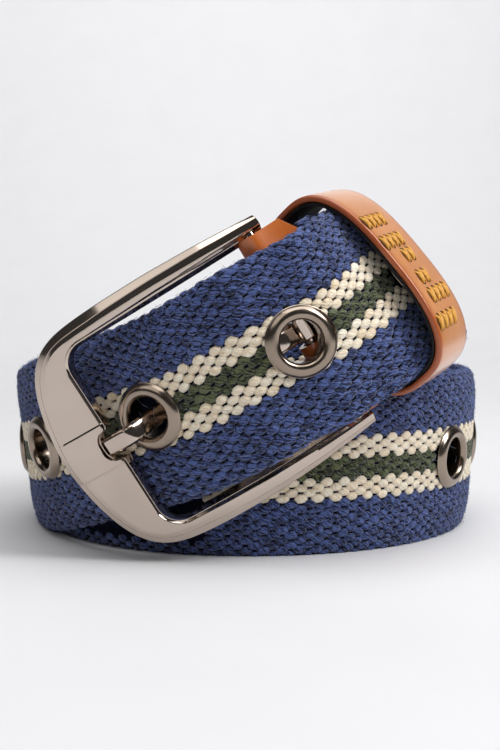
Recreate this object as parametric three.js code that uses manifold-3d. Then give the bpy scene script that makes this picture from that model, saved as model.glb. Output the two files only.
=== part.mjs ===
// Canvas web belt, buckled and rolled into a coil that stands on its edge.
// Millimetres, +Z up. The coil's axis is vertical, the buckle faces -Y.
import * as THREE from "three";
import Module from "manifold-3d";

const wasm = await Module();
wasm.setup();

// Driving dimensions of the web.
const WEB_WIDTH = 37.6;
const WEB_THICKNESS = 2.5;
const SECTION_STEP = 7.6; // length of one straight facet along the web
const TONGUE_STEP = 5; // the same, over the sharper bends in front of the buckle
const TONGUE_END = 60;
const STAND_FLAT = 0.2; // depth worn flat along the edge the coil stands on

// Eyelets.
const EYELET_COUNT = 11;
const EYELET_PITCH = 34.4;
const BUCKLED_EYELET = 3; // the one that the prong goes through, counted from the tip
const BUCKLED_AT = 84; // its distance from the tip of the web
const EYELET_OUTER_R = 7.2;
const EYELET_HOLE_R = 4.25;
const WEB_HOLE_R = 5.2;

// Buckle frame.
const FRAME_THICKNESS = 3.4;
const FRAME_CHAMFER = 0.8;
const FRAME_BEND_R = 117; // the frame is curved to the wearer's waist
// Outline of half the frame: along from the arms' square ends, across from the middle.
const FRAME_OUTER_EDGE = [
  { along: 0.2, across: 24.3 },
  { along: 5.5, across: 24.7 },
  { along: 14, across: 25.3 },
  { along: 25, across: 25.7 },
  { along: 36, across: 25.6 },
  { along: 42, across: 25.3 },
  { along: 46, across: 24.9 },
  { along: 49, across: 24.2 },
  { along: 51.5, across: 23.0 },
  { along: 53.6, across: 21.4 },
  { along: 55.8, across: 18.6 },
  { along: 57.5, across: 15.0 },
  { along: 58.9, across: 10.5 },
  { along: 59.9, across: 5.2 },
  { along: 60.4, across: 0 },
];
const FRAME_INNER_EDGE = [
  { along: 0.2, across: 20.2 },
  { along: 8, across: 20.2 },
  { along: 16, across: 20.2 },
  { along: 24, across: 20.2 },
  { along: 32, across: 20.2 },
  { along: 38, across: 20.2 },
  { along: 42.4, across: 20.2 },
  { along: 44.7, across: 19.8 },
  { along: 46.4, across: 18.5 },
  { along: 47.2, across: 16.4 },
  { along: 47.3, across: 10 },
  { along: 47.3, across: 3.3 },
  { along: 48.9, across: 2.9 },
  { along: 49.8, across: 1.6 },
  { along: 50, across: 0 },
];

// Hinge pin and prong.
const PIN_R = 1.75;
const PIN_ALONG = 2.9; // pin centre, from the square ends of the arms
const PIN_BELOW = 1.8; // pin centre, under the frame's front face
const PIN_IN_ARM = 2.6; // length of the pin inside each arm
const PIN_NECK = 0.45; // how much thinner it is there
const PLAY = 0.3; // clearance between pieces that touch

const PRONG_WIDTH = 4.4;
const PRONG_THICKNESS = 1.9;

// Leather chape and keeper.
const LEATHER = 1;
const CHAPE_LENGTH = 9.5; // pin centre to the end of the leather
const CHAPE_WIDTH = WEB_WIDTH - 5; // its flaps
const WRAP_WIDTH = WEB_WIDTH + 1.2; // its fold, which fills the space between the arms
const WRAP_END = 5; // from the pin centre to where the flaps narrow
const WEB_END_GAP = 6.4; // pin centre to the web's buckle end
const WEB_END_PRESSED = 0.8; // share of the web's thickness left between the flaps
const FLAP_STATIONS = [8.6, 7.2]; // bends between the chape's end and the web's end

const KEEPER_WIDTH = 15.7;
const KEEPER_HALF_LENGTH = WEB_WIDTH / 2 + 2.45; // inside, along the web's width
const KEEPER_HALF_DEPTH = 10.1; // inside, through the layers
const KEEPER_CORNER = 2.8; // exponent of the rounded outline
const LINING = 0.6;
const KEEPER_LEATHER = 1.25;

// The web's course.
// One row per station, from the free tip to the hinge pin.
// turn: degrees round the coil from the front, by way of the left, the back and the right
// radius: from the coil's axis to the middle of the web
// lift: height of the middle of the web's width
// lean: degrees the upper edge tips outwards
// curl: how far both edges are rolled inwards
const COURSE = [
  { turn: -47, radius: 49.8, lift: 60.7, lean: -38, curl: 0.6 },
  { turn: -40, radius: 53.4, lift: 60.2, lean: -37, curl: 0.6 },
  { turn: -31.6, radius: 58.1, lift: 59.2, lean: -35, curl: 0.5 },
  { turn: -24, radius: 63.1, lift: 56.4, lean: -30, curl: 0.4 },
  { turn: -17, radius: 67.3, lift: 52, lean: -13, curl: 0.3 },
  { turn: -10, radius: 69.7, lift: 47.3, lean: 0.5, curl: 0.3 },
  { turn: -2.5, radius: 69.6, lift: 42.7, lean: 7, curl: 0.3 },
  { turn: 4.5, radius: 67.7, lift: 37.9, lean: 11, curl: 0.3 },
  { turn: 11.8, radius: 65.5, lift: 33.5, lean: 13, curl: 0.3 },
  { turn: 19.8, radius: 63.5, lift: 30.2, lean: 12.5, curl: 0.4 },
  { turn: 28.3, radius: 61.9, lift: 27.6, lean: 12.5, curl: 0.5 },
  { turn: 37.1, radius: 60.6, lift: 25.0, lean: 12.5, curl: 0.6 },
  { turn: 46, radius: 59.1, lift: 22.6, lean: 12, curl: 0.7 },
  { turn: 55.3, radius: 57.4, lift: 20.7, lean: 10.5, curl: 0.9 },
  { turn: 64.9, radius: 55.8, lift: 19.5, lean: 8.5, curl: 1.1 },
  { turn: 75, radius: 54.4, lift: 18.95, lean: 6, curl: 1.3 },
  { turn: 90, radius: 53.5, lift: 18.8, lean: 3.4, curl: 1.4 },
  { turn: 180, radius: 53.5, lift: 18.8, lean: 3.4, curl: 1.4 },
  { turn: 270, radius: 53.5, lift: 18.8, lean: 3.4, curl: 1.4 },
  { turn: 360, radius: 53.5, lift: 18.8, lean: 3.4, curl: 1.4 },
  { turn: 385, radius: 53.3, lift: 18.8, lean: 3.4, curl: 1.4 },
  { turn: 420, radius: 51.3, lift: 18.8, lean: 3.4, curl: 1.4 },
  { turn: 450, radius: 49.2, lift: 18.8, lean: 3.4, curl: 1.4 },
  { turn: 490, radius: 49.0, lift: 18.8, lean: 3.4, curl: 1.4 },
  { turn: 590, radius: 49.0, lift: 18.8, lean: 3.4, curl: 1.4 },
  { turn: 690, radius: 49.0, lift: 18.8, lean: 3.4, curl: 1.4 },
  { turn: 745, radius: 48.8, lift: 18.8, lean: 3.4, curl: 1.4 },
  { turn: 780, radius: 47.0, lift: 18.9, lean: 3.4, curl: 1.4 },
  { turn: 810, radius: 45.1, lift: 19.6, lean: 3.4, curl: 1.4 },
  { turn: 840, radius: 44.0, lift: 22.0, lean: 3, curl: 1.3 },
  { turn: 870, radius: 43.2, lift: 25.5, lean: 2, curl: 1.1 },
  { turn: 900, radius: 42.6, lift: 29.3, lean: 1, curl: 0.9 },
  { turn: 930, radius: 42.0, lift: 33.2, lean: 0, curl: 0.8 },
  { turn: 960, radius: 41.6, lift: 38.0, lean: -1, curl: 0.6 },
  { turn: 990, radius: 41.2, lift: 43.5, lean: -3, curl: 0.5 },
  { turn: 1010, radius: 40.6, lift: 48.4, lean: -7, curl: 0.4 },
  { turn: 1024, radius: 40.1, lift: 52.9, lean: -15, curl: 0.3 },
  { turn: 1031, radius: 41.4, lift: 55.9, lean: -26, curl: 0.2 },
  { turn: 1038.04, radius: 46.08, lift: 56.91, lean: -38.0, curl: 0 },
  { turn: 1043.10, radius: 49.71, lift: 57.45, lean: -37.2, curl: 0 },
  { turn: 1048.10, radius: 52.95, lift: 57.49, lean: -36.0, curl: 0 },
  { turn: 1052.72, radius: 55.66, lift: 56.79, lean: -34.1, curl: 0 },
  { turn: 1057.37, radius: 58.37, lift: 55.28, lean: -29.1, curl: 0 },
  { turn: 1060.79, radius: 59.63, lift: 53.95, lean: -16.8, curl: 0 },
  { turn: 1063.82, radius: 60.15, lift: 52.47, lean: -14.3, curl: 0 },
  { turn: 1066.89, radius: 61.91, lift: 50.89, lean: -9.3, curl: 0 },
  { turn: 1070.16, radius: 62.35, lift: 48.66, lean: -2.8, curl: 0 },
];

// Cubic interpolation of the course's columns over the turn.
function courseAt(turn) {
  let i = COURSE.findIndex((row) => row.turn > turn) - 1;
  if (i < 0) i = turn <= COURSE[0].turn ? 0 : COURSE.length - 2;
  const [a, b] = [COURSE[i], COURSE[i + 1]];
  const before = COURSE[Math.max(i - 1, 0)];
  const after = COURSE[Math.min(i + 2, COURSE.length - 1)];
  const span = b.turn - a.turn;
  const t = (turn - a.turn) / span;
  const out = {};
  for (const key of ["radius", "lift", "lean", "curl"]) {
    const here = (b[key] - a[key]) / span;
    const slopeA = a === before ? here : meanSlope((a[key] - before[key]) / (a.turn - before.turn), here);
    const slopeB = b === after ? here : meanSlope(here, (after[key] - b[key]) / (after.turn - b.turn));
    out[key] =
      a[key] * (1 + 2 * t) * (1 - t) ** 2 +
      b[key] * t * t * (3 - 2 * t) +
      span * (slopeA * t * (1 - t) ** 2 - slopeB * t * t * (1 - t));
  }
  return out;
}

// Slope at a station: flat where the column turns back, the harmonic mean elsewhere.
function meanSlope(p, q) {
  return p * q > 0 ? (2 * p * q) / (p + q) : 0;
}

function pointAt(turn) {
  const { radius, lift } = courseAt(turn);
  const angle = THREE.MathUtils.degToRad(turn);
  return new THREE.Vector3(-radius * Math.sin(angle), -radius * Math.cos(angle), lift);
}

// The course as evenly readable samples: distance from the tip against turn.
const SAMPLES = 4000;
const FIRST_TURN = COURSE[0].turn;
const LAST_TURN = COURSE[COURSE.length - 1].turn;
const turns = [];
const distances = [];
for (let i = 0; i <= SAMPLES; i++) {
  turns.push(FIRST_TURN + ((LAST_TURN - FIRST_TURN) * i) / SAMPLES);
  distances.push(i ? distances[i - 1] + pointAt(turns[i]).distanceTo(pointAt(turns[i - 1])) : 0);
}
const COURSE_LENGTH = distances[SAMPLES];

function turnAtDistance(distance) {
  if (distance <= 0) return FIRST_TURN + distance / 1.2;
  if (distance >= COURSE_LENGTH) return LAST_TURN;
  let low = 0;
  let high = SAMPLES;
  while (high - low > 1) {
    const mid = (low + high) >> 1;
    if (distances[mid] <= distance) low = mid;
    else high = mid;
  }
  const t = (distance - distances[low]) / (distances[high] - distances[low]);
  return turns[low] + t * (turns[high] - turns[low]);
}

// Axes of the web at a distance from the tip: along, across (towards the upper edge) and out.
function frameAt(distance) {
  const turn = turnAtDistance(distance);
  const step = 0.25;
  const from = Math.max(turn - step, FIRST_TURN);
  const to = Math.min(turn + step, LAST_TURN);
  const along = pointAt(to).sub(pointAt(from)).normalize();
  const up = new THREE.Vector3(0, 0, 1).addScaledVector(along, -along.z).normalize();
  const level = new THREE.Vector3().crossVectors(up, along);
  const { lean, curl } = courseAt(turn);
  const angle = THREE.MathUtils.degToRad(lean);
  const across = up.clone().multiplyScalar(Math.cos(angle)).addScaledVector(level, Math.sin(angle));
  const out = new THREE.Vector3().crossVectors(across, along);
  return { origin: pointAt(turn), along, across, out, curl };
}

// A point of the web: across its width, at a height over its middle surface.
function onCourse(frame, across, height) {
  const roll = Math.max(Math.abs(across) - 11, 0) / 8;
  return frame.origin
    .clone()
    .addScaledVector(frame.across, across)
    .addScaledVector(frame.out, height - frame.curl * roll * roll);
}

// Buckle space: a runs from the arms' square ends to the far bar, b up the frame, n out of its face.
const FRAME_ORIGIN = new THREE.Vector3(13.50, -62.72, 50.21);
const AXIS_A = new THREE.Vector3(-0.817, -0.224, -0.531).normalize();
const AXIS_B = new THREE.Vector3(-0.517, -0.122, 0.847);
AXIS_B.addScaledVector(AXIS_A, -AXIS_B.dot(AXIS_A)).normalize();
const AXIS_N = new THREE.Vector3().crossVectors(AXIS_B, AXIS_A);

function onBuckle(a, b, n) {
  const angle = a / FRAME_BEND_R;
  const r = FRAME_BEND_R + n;
  return FRAME_ORIGIN.clone()
    .addScaledVector(AXIS_A, r * Math.sin(angle))
    .addScaledVector(AXIS_N, r * Math.cos(angle) - FRAME_BEND_R)
    .addScaledVector(AXIS_B, b);
}

// Towards the hinge pin the web and its leather turn from the course into the buckle's own directions.
// u is the distance back from the pin.
const TURNOVER = 5.2;
const PIN_CENTRE = onBuckle(PIN_ALONG, 0, -PIN_BELOW);
function nearPin(u, across, height) {
  const atPin = PIN_CENTRE.clone()
    .addScaledVector(AXIS_A, -u)
    .addScaledVector(AXIS_B, across)
    .addScaledVector(AXIS_N, height);
  if (u <= 0) return atPin;
  const onward = onCourse(frameAt(COURSE_LENGTH - u), across, height);
  return atPin.lerp(onward, THREE.MathUtils.smoothstep(u, 0, TURNOVER));
}

// Joins a row of equal rings into a tube.
function meshOf(rings, closed) {
  const ringSize = rings[0].length;
  const positions = rings.flat().flatMap((p) => [p.x, p.y, p.z]);
  const index = [];
  const bands = closed ? rings.length : rings.length - 1;
  for (let i = 0; i < bands; i++) {
    const a = i * ringSize;
    const b = ((i + 1) % rings.length) * ringSize;
    for (let k = 0; k < ringSize; k++) {
      const next = (k + 1) % ringSize;
      index.push(a + k, b + k, b + next, a + k, b + next, a + next);
    }
  }
  const geometry = new THREE.BufferGeometry();
  geometry.setAttribute("position", new THREE.Float32BufferAttribute(positions, 3));
  geometry.setIndex(index);
  return geometry;
}

// Closes the two ends of a ladder-shaped ring, whose k-th point faces its last-but-k point.
function capLadder(geometry, ringCount, ringSize) {
  const index = Array.from(geometry.index.array);
  const last = (ringCount - 1) * ringSize;
  for (let k = 0; k < ringSize / 2 - 1; k++) {
    const m = ringSize - 1 - k;
    index.push(k, k + 1, m - 1, k, m - 1, m);
    index.push(last + k, last + m - 1, last + k + 1, last + k, last + m, last + m - 1);
  }
  geometry.setIndex(index);
  return geometry;
}

// A geometry as a solid whose faces point outwards.
function solidOf(geometry) {
  const { positions, index } = joined(geometry);
  const build = (triVerts) =>
    new wasm.Manifold(new wasm.Mesh({ numProp: 3, vertProperties: positions, triVerts }));
  const solid = build(index);
  if (solid.volume() > 0) return solid;
  for (let i = 0; i < index.length; i += 3) [index[i], index[i + 1]] = [index[i + 1], index[i]];
  return build(index);
}

// Joins the equal corners of a geometry and drops the faces that vanish.
function joined(geometry) {
  const source = (geometry.index ? geometry.toNonIndexed() : geometry).getAttribute("position");
  const seen = new Map();
  const positions = [];
  const index = [];
  for (let i = 0; i < source.count; i++) {
    const corner = [source.getX(i), source.getY(i), source.getZ(i)];
    const key = corner.map((v) => v.toFixed(4)).join(" ");
    if (!seen.has(key)) {
      seen.set(key, positions.length / 3);
      positions.push(...corner);
    }
    index.push(seen.get(key));
  }
  const kept = [];
  for (let i = 0; i < index.length; i += 3) {
    const [a, b, c] = index.slice(i, i + 3);
    if (a !== b && b !== c && a !== c) kept.push(a, b, c);
  }
  return { positions: new Float32Array(positions), index: new Uint32Array(kept) };
}

function geometryOf(solid) {
  const mesh = solid.getMesh();
  const geometry = new THREE.BufferGeometry();
  geometry.setAttribute("position", new THREE.Float32BufferAttribute(mesh.vertProperties, 3));
  geometry.setIndex(Array.from(mesh.triVerts));
  return geometry;
}

const belt = new THREE.Group();

function addPiece(name, solid, colour, metalness, roughness) {
  const material = new THREE.MeshStandardMaterial({ color: colour, metalness, roughness });
  const mesh = new THREE.Mesh(geometryOf(solid), material);
  mesh.name = name;
  belt.add(mesh);
}

// Webbing: one strip that follows the course, with its eyelet holes punched through.
const half = WEB_WIDTH / 2;
const COLUMNS = [-1, -0.93, -0.62, 0, 0.62, 0.93, 1];
const EDGE_THINNING = [0.55, 1, 1, 1, 1, 1, 0.55];

function webRing(distance) {
  const u = COURSE_LENGTH - distance;
  const frame = frameAt(distance);
  const thickness = WEB_THICKNESS * (u < CHAPE_LENGTH + 1 ? WEB_END_PRESSED : 1);
  const face = (side) =>
    COLUMNS.map((c, k) => onCourse(frame, c * half, (side * EDGE_THINNING[k] * thickness) / 2));
  return [...face(1), ...face(-1).reverse()];
}

function cylinderAlong(frame, radius, from, to, segments) {
  const geometry = new THREE.CylinderGeometry(radius, radius, to - from, segments);
  geometry.translate(0, (from + to) / 2, 0);
  const basis = new THREE.Matrix4().makeBasis(frame.across, frame.out, frame.along);
  basis.setPosition(frame.origin);
  return solidOf(geometry.applyMatrix4(basis));
}

const eyeletFrames = [];
for (let i = 1; i <= EYELET_COUNT; i++) {
  eyeletFrames.push(frameAt(BUCKLED_AT + (i - BUCKLED_EYELET) * EYELET_PITCH));
}

const lastStations = [CHAPE_LENGTH + 4, CHAPE_LENGTH, ...FLAP_STATIONS, WEB_END_GAP].map(
  (u) => COURSE_LENGTH - u,
);
const evenly = (from, to, step) => {
  const count = Math.ceil((to - from) / step);
  return Array.from({ length: count }, (_, i) => from + ((to - from) * i) / count);
};
const stations = [
  ...evenly(0, TONGUE_END, TONGUE_STEP),
  ...evenly(TONGUE_END, lastStations[0], SECTION_STEP),
  ...lastStations,
];
const webRings = stations.map(webRing);
let webbing = solidOf(capLadder(meshOf(webRings, false), webRings.length, webRings[0].length));
for (const frame of eyeletFrames) webbing = webbing.subtract(cylinderAlong(frame, WEB_HOLE_R, -4, 4, 14));
const lowest = webbing.boundingBox().min[2];
webbing = webbing.trimByPlane([0, 0, 1], lowest + STAND_FLAT);
addPiece("webbing", webbing, 0x2b3a66, 0, 0.9);

// Eyelets: a domed flange in front, a barrel through the web and a flat flange behind.
const FLANGE_FRONT = WEB_THICKNESS / 2 + 0.55;
const FLANGE_BACK = -WEB_THICKNESS / 2 - 1.25;
const FLANGE_BACK_R = EYELET_OUTER_R - 1.1;
const EYELET_PROFILE = [
  [EYELET_HOLE_R, FLANGE_BACK - 0.3],
  [FLANGE_BACK_R, FLANGE_BACK - 0.3],
  [FLANGE_BACK_R, FLANGE_BACK],
  [EYELET_HOLE_R + 0.55, FLANGE_BACK],
  [EYELET_HOLE_R + 0.55, FLANGE_FRONT],
  [EYELET_OUTER_R, FLANGE_FRONT - 0.1],
  [EYELET_OUTER_R - 0.7, FLANGE_FRONT + 0.75],
  [EYELET_HOLE_R + 0.9, FLANGE_FRONT + 1.0],
  [EYELET_HOLE_R, FLANGE_FRONT + 0.35],
  [EYELET_HOLE_R, FLANGE_BACK - 0.3],
];
eyeletFrames.forEach((frame, i) => {
  const profile = EYELET_PROFILE.map(([r, h]) => new THREE.Vector2(r, h));
  const ring = new THREE.LatheGeometry(profile, 18);
  const basis = new THREE.Matrix4().makeBasis(frame.across, frame.out, frame.along);
  basis.setPosition(frame.origin);
  const name = `eyelet_${String(i + 1).padStart(2, "0")}`;
  addPiece(name, solidOf(ring.applyMatrix4(basis)), 0x8a817a, 0.9, 0.35);
});

function bendToBuckle(geometry) {
  const positions = geometry.getAttribute("position");
  for (let i = 0; i < positions.count; i++) {
    const p = onBuckle(positions.getX(i), positions.getY(i), positions.getZ(i));
    positions.setXYZ(i, p.x, p.y, p.z);
  }
  return geometry;
}

// Frame: a C of two arms and a bowed far bar, with a notch for the prong.
function frameOutline() {
  const side = (edge, sign) => edge.map(({ along, across }) => new THREE.Vector2(along, sign * across));
  return [
    ...side(FRAME_OUTER_EDGE, -1),
    ...side(FRAME_OUTER_EDGE.slice(0, -1), 1).reverse(),
    ...side(FRAME_INNER_EDGE, 1),
    ...side(FRAME_INNER_EDGE.slice(0, -1), -1).reverse(),
  ];
}
const frameGeometry = new THREE.ExtrudeGeometry(new THREE.Shape(frameOutline()), {
  depth: FRAME_THICKNESS - 2 * FRAME_CHAMFER,
  bevelThickness: FRAME_CHAMFER,
  bevelSize: FRAME_CHAMFER,
  bevelOffset: -FRAME_CHAMFER,
  bevelSegments: 1,
  steps: 1,
});
frameGeometry.translate(0, 0, FRAME_CHAMFER - FRAME_THICKNESS);

// A round bar across the buckle: its axis is along b.
function crossBar(radius, halfLength, segments) {
  const bar = new THREE.CylinderGeometry(radius, radius, 2 * halfLength, segments);
  bar.translate(PIN_ALONG, 0, -PIN_BELOW);
  return solidOf(bendToBuckle(bar));
}
const armInner = FRAME_INNER_EDGE[0].across;
const PIN_HALF_LENGTH = armInner + PIN_IN_ARM;
let buckle = solidOf(bendToBuckle(frameGeometry));
buckle = buckle.subtract(crossBar(PIN_R - PIN_NECK + PLAY, PIN_HALF_LENGTH + PLAY, 16));
addPiece("buckle_frame", buckle, 0x8f857c, 1, 0.25);

// Hinge pin: full thickness between the arms, turned down where it enters them.
const pin = crossBar(PIN_R, armInner - PLAY, 16).add(crossBar(PIN_R - PIN_NECK, PIN_HALF_LENGTH, 16));
addPiece("hinge_pin", pin, 0x8f857c, 1, 0.3);

// Prong: an eye round the pin and a flat bar that dips behind the web,
// rises through the third eyelet and rests in the notch.
const PRONG_COURSE = [
  { along: 5.2, height: -0.8, width: 1 },
  { along: 9, height: 0, width: 1 },
  { along: 15, height: -0.2, width: 1 },
  { along: 22, height: -2.2, width: 1 },
  { along: 28.5, height: -5.0, width: 0.98 },
  { along: 33, height: -6.9, width: 0.96 },
  { along: 36.2, height: -6.5, width: 0.94 },
  { along: 40.5, height: -3.5, width: 0.92 },
  { along: 44.5, height: 0.35, width: 0.9 },
  { along: 47, height: 0, width: 0.88 },
  { along: 49, height: -0.5, width: 0.8 },
];
const prongCurve = new THREE.CatmullRomCurve3(
  PRONG_COURSE.map((row) => new THREE.Vector3(row.along, 0, row.height)),
);
const PRONG_STEPS = 22;
const prongRings = [];
for (let i = 0; i <= PRONG_STEPS; i++) {
  const t = i / PRONG_STEPS;
  const at = prongCurve.getPoint(t);
  const direction = prongCurve.getTangent(t);
  const normal = new THREE.Vector3(-direction.z, 0, direction.x);
  const place = t * (PRONG_COURSE.length - 1);
  const row = Math.min(Math.floor(place), PRONG_COURSE.length - 2);
  const width = THREE.MathUtils.lerp(PRONG_COURSE[row].width, PRONG_COURSE[row + 1].width, place - row);
  const w = (PRONG_WIDTH / 2) * width;
  const h = PRONG_THICKNESS / 2;
  prongRings.push(
    [[-w, -h], [-w, h * 0.35], [-w * 0.6, h], [w * 0.6, h], [w, h * 0.35], [w, -h]].map(([b, n]) => {
      const p = at.clone().addScaledVector(normal, n);
      return onBuckle(p.x, b, p.z);
    }),
  );
}
const prongBar = solidOf(capLadder(meshOf(prongRings, false), prongRings.length, 6));
const EYE_R = PIN_R + PLAY + 1.3;
const eye = crossBar(EYE_R, PRONG_WIDTH / 2 + 0.2, 18).subtract(crossBar(PIN_R + PLAY, PRONG_WIDTH, 16));
addPiece("prong", prongBar.add(eye), 0x9a8f86, 1, 0.28);

// Chape: leather folded round the pin, both flaps laid over the web's end.
const flap = WEB_THICKNESS / 2 + 1;
const CHAPE_OUTER = [];
const CHAPE_INNER = [];
const lengthwise = [CHAPE_LENGTH, ...FLAP_STATIONS, WEB_END_GAP, WEB_END_GAP - 2];
for (const u of lengthwise) {
  CHAPE_OUTER.push([u, flap + LEATHER]);
  CHAPE_INNER.push([u, flap]);
}
const wrapR = PIN_R + PLAY + 0.1;
for (let i = 0; i <= 10; i++) {
  const angle = THREE.MathUtils.degToRad(62 + (236 * i) / 10);
  CHAPE_OUTER.push([Math.cos(angle) * (wrapR + LEATHER), Math.sin(angle) * (wrapR + LEATHER)]);
  CHAPE_INNER.push([Math.cos(angle) * wrapR, Math.sin(angle) * wrapR]);
}
for (const u of [...lengthwise].reverse()) {
  CHAPE_OUTER.push([u, -flap - LEATHER]);
  CHAPE_INNER.push([u, -flap]);
}
const CHAPE_COLUMNS = [-1, -0.65, 0, 0.65, 1];
const chapeRings = CHAPE_OUTER.map((outer, i) => {
  const width = outer[0] < WRAP_END ? WRAP_WIDTH : CHAPE_WIDTH;
  const row = (pair) => CHAPE_COLUMNS.map((c) => nearPin(pair[0], (c * width) / 2, pair[1]));
  return [...row(outer), ...row(CHAPE_INNER[i]).reverse()];
});
let chape = solidOf(capLadder(meshOf(chapeRings, false), chapeRings.length, chapeRings[0].length));
const SLOT_LENGTH = 15;
const SLOT_WIDTH = PRONG_WIDTH + 2.4;
const SLOT_DEPTH = 9.4;
const SLOT_PAST_PIN = 1.6; // slot centre, beyond the pin centre
const slot = new THREE.BoxGeometry(SLOT_LENGTH, SLOT_WIDTH, SLOT_DEPTH);
slot.translate(PIN_ALONG + SLOT_PAST_PIN, 0, -PIN_BELOW);
chape = chape.subtract(solidOf(bendToBuckle(slot)));
addPiece("leather_chape", chape, 0xb5642c, 0, 0.55);

// Keeper: a leather loop with a dark lining, round the tip and the chape.
const KEEPER_CENTRE = new THREE.Vector3(24.75, -49.8, 56.45);
const KEEPER_ALONG = new THREE.Vector3(0.478, 0.862, 0.17).normalize();
const KEEPER_ACROSS = new THREE.Vector3(-0.61, 0.187, 0.77).normalize();
const KEEPER_OUT = new THREE.Vector3(0.631, -0.472, 0.615).normalize();
const KEEPER_SEGMENTS = 48;

function keeperRing(inset, thickness, halfWidth) {
  const rings = [];
  for (let i = 0; i < KEEPER_SEGMENTS; i++) {
    const angle = (2 * Math.PI * i) / KEEPER_SEGMENTS;
    const power = 2 / KEEPER_CORNER;
    const c = Math.sign(Math.cos(angle)) * Math.abs(Math.cos(angle)) ** power;
    const s = Math.sign(Math.sin(angle)) * Math.abs(Math.sin(angle)) ** power;
    const at = (extra, along) =>
      KEEPER_CENTRE.clone()
        .addScaledVector(KEEPER_ACROSS, c * (KEEPER_HALF_LENGTH + extra))
        .addScaledVector(KEEPER_OUT, s * (KEEPER_HALF_DEPTH + extra))
        .addScaledVector(KEEPER_ALONG, along);
    const outside = inset + thickness;
    const edges = [[inset, -halfWidth], [outside, -halfWidth], [outside, halfWidth], [inset, halfWidth]];
    rings.push(edges.map(([extra, along]) => at(extra, along)));
  }
  return solidOf(meshOf(rings, true));
}
addPiece("keeper_lining", keeperRing(0, LINING, KEEPER_WIDTH / 2 - 0.3), 0x15130f, 0, 0.8);
addPiece("keeper_loop", keeperRing(LINING + 0.25, KEEPER_LEATHER, KEEPER_WIDTH / 2), 0xc98a5e, 0, 0.5);

// The origin is under the middle of the belt's box, on the surface it stands on.
const box = new THREE.Box3().setFromObject(belt);
const centre = box.getCenter(new THREE.Vector3());
belt.position.set(-centre.x, -centre.y, -box.min.z);

export default belt;
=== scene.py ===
# %% [markdown]
# # A canvas web belt, buckled and rolled into a coil
# The belt is a strip of heavy cotton webbing with metal eyelets, a polished buckle and a leather keeper.
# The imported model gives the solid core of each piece. This file dresses it: yarns are laid over the webbing
# one float at a time, the metal gets its rolled rims and ridges, and the leather gets grain, painted edges
# and stitched tacks. Everything is worked out in millimetres and multiplied by MM where it becomes a mesh.

# %% Load the frame
from contextlib import contextmanager
from math import cos, pi, radians, sin

import bpy
import numpy as np
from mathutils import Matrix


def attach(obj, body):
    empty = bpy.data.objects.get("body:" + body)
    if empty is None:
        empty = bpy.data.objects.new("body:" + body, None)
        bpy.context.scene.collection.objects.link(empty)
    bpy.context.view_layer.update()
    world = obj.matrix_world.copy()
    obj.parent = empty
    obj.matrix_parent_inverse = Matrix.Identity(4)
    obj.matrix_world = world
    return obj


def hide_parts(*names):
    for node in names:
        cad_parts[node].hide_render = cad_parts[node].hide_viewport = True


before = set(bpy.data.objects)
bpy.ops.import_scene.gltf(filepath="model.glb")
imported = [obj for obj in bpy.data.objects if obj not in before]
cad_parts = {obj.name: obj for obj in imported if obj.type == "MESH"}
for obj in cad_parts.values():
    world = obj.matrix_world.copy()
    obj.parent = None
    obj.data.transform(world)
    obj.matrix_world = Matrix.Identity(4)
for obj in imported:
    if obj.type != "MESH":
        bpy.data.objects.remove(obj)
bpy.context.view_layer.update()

MM = 0.001


# %% [markdown]
# ## Small helpers
# Operators act on whatever is selected, so each step starts from an empty selection with one active object.
# A mesh that is worked out as arrays is handed over in one go, which keeps tens of thousands of yarn floats
# quick to make.

# %% Selection and mesh helpers
def only(piece):
    """Makes this the one selected and active object."""
    bpy.ops.object.select_all(action="DESELECT")
    piece.select_set(True)
    bpy.context.view_layer.objects.active = piece
    return piece


def mesh_piece(name, points, corners, starts=None):
    """A mesh object from millimetre points and the faces' corners in a row; without starts all are quads."""
    starts = np.arange(0, len(corners), 4) if starts is None else starts
    mesh = bpy.data.meshes.new(name)
    mesh.vertices.add(len(points))
    mesh.vertices.foreach_set("co", (np.asarray(points) * MM).ravel())
    mesh.loops.add(len(corners))
    mesh.loops.foreach_set("vertex_index", np.asarray(corners, dtype=np.int32))
    mesh.polygons.add(len(starts))
    mesh.polygons.foreach_set("loop_start", np.asarray(starts, dtype=np.int32))
    mesh.update(calc_edges=True)
    mesh.validate()
    mesh.polygons.foreach_set("use_smooth", np.ones(len(mesh.polygons), dtype=bool))
    piece = bpy.data.objects.new(name, mesh)
    bpy.context.collection.objects.link(piece)
    return piece


def tube_corners(count, size, closed=False):
    """Corners of the quads between equal rings; a closed tube also joins its last ring to its first."""
    ring = np.arange(count if closed else count - 1)[:, None] * size
    following = (ring + size) % (count * size)
    here, beside = np.arange(size), (np.arange(size) + 1) % size
    return np.stack([ring + here, ring + beside, following + beside, following + here], axis=-1).ravel()


def lofted(name, rings):
    """A tube through equal rings of points, closed by a face at each end."""
    rings = np.asarray(rings)
    count, size = rings.shape[:2]
    sides, first = tube_corners(count, size), np.arange(size)
    corners = np.concatenate([sides, first[::-1], first + (count - 1) * size])
    starts = [*range(0, len(sides), 4), len(sides), len(sides) + size]
    return outward(mesh_piece(name, rings.reshape(-1, 3), corners, starts))


def repeated(numbers, step, count):
    """A row of numbers again and again, each time raised by one more step."""
    return (np.asarray(numbers)[None] + step * np.arange(count)[:, None]).ravel()


@contextmanager
def editing(piece):
    """Edit mode on one piece, with all of its mesh selected to start with."""
    only(piece)
    bpy.ops.object.mode_set(mode="EDIT")
    bpy.ops.mesh.select_all(action="SELECT")
    yield
    bpy.ops.object.mode_set(mode="OBJECT")


def outward(piece):
    """Turns all the faces of a piece to the outside."""
    with editing(piece):
        bpy.ops.mesh.normals_make_consistent(inside=False)
    return piece


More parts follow.
